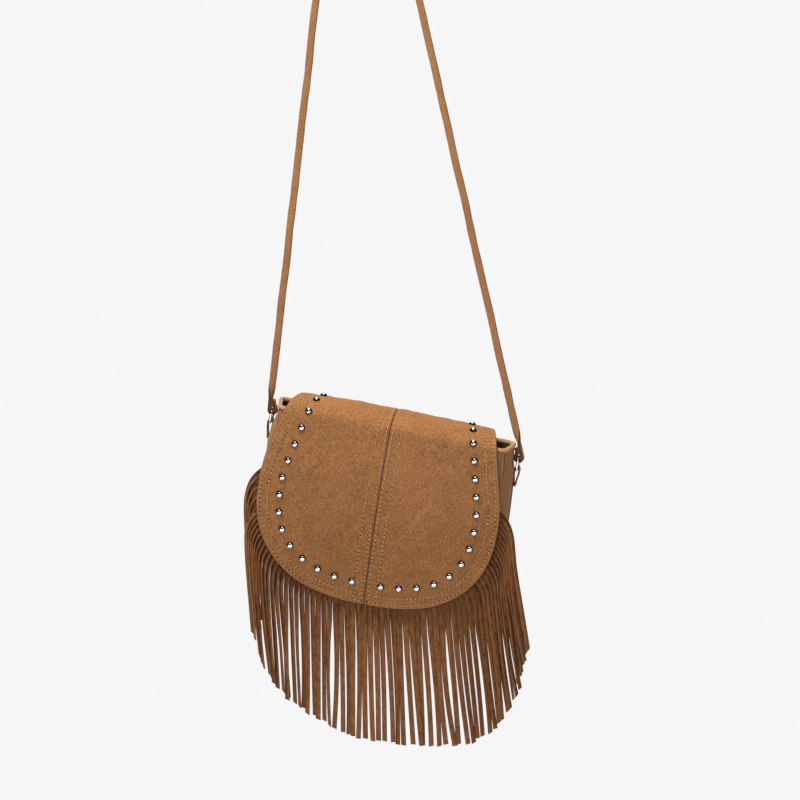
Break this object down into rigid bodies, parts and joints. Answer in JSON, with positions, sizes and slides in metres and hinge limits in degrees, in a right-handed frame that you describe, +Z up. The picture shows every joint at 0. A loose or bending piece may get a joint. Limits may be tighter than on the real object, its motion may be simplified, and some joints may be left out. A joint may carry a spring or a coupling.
{
  "type": "fringed suede bag",
  "caption": "Small suede shoulder bag with a rounded flap edged in dome studs, a long narrow strap and a cut fringe hanging from the seam round its front.",
  "frame": {"origin": "the point on the inside of the strap that rests on the peg or hook the bag hangs from", "axes": "+Z up, +X to the right of someone looking at the bag's front, -Y out of its front. The bag hangs turned 11.9 degrees about Y, its right side lower, as the picture shows it."},
  "size_m": [0.247, 0.0543, 0.8898],
  "materials": {
    "suede": "napped tan suede",
    "edge_suede": "paler rolled suede edge",
    "fringe_suede": "napped suede, a little darker",
    "lining_fabric": "dark plain woven cloth",
    "polished_metal": "polished"
  },
  "bodies": {
    "bag": {"front_panel": "suede", "back_panel": "suede", "gusset": "suede", "lining": "lining_fabric", "mouth_binding": "edge_suede", "fringe": "fringe_suede", "flap_anchor": "suede", "snap_socket": "polished_metal", "ring_left": "polished_metal", "ring_right": "polished_metal", "tab_left": "suede", "tab_right": "suede", "strap": "suede"},
    "flap": {"flap_left": "suede", "flap_right": "suede", "flap_lining": "lining_fabric", "snap_stud": "polished_metal", "stud_01": "polished_metal", "stud_02": "polished_metal", "stud_03": "polished_metal", "stud_04": "polished_metal", "stud_05": "polished_metal", "stud_06": "polished_metal", "stud_07": "polished_metal", "stud_08": "polished_metal", "stud_09": "polished_metal", "stud_10": "polished_metal", "stud_11": "polished_metal", "stud_12": "polished_metal", "stud_13": "polished_metal", "stud_14": "polished_metal", "stud_15": "polished_metal", "stud_16": "polished_metal", "stud_17": "polished_metal", "stud_18": "polished_metal", "stud_19": "polished_metal", "stud_20": "polished_metal", "stud_21": "polished_metal", "stud_22": "polished_metal", "stud_23": "polished_metal", "stud_24": "polished_metal", "stud_25": "polished_metal", "stud_26": "polished_metal", "stud_27": "polished_metal", "stud_28": "polished_metal", "stud_29": "polished_metal", "stud_30": "polished_metal", "stud_31": "polished_metal", "stud_32": "polished_metal"}
  },
  "joints": [
    {"name": "flap_lift", "type": "hinge", "parent": "bag", "child": "flap", "pos_m": [0.0106, 0.0093, -0.6015], "axis": [-0.9785, 0, 0.2062], "range_deg": [0, 55]}
  ]
}
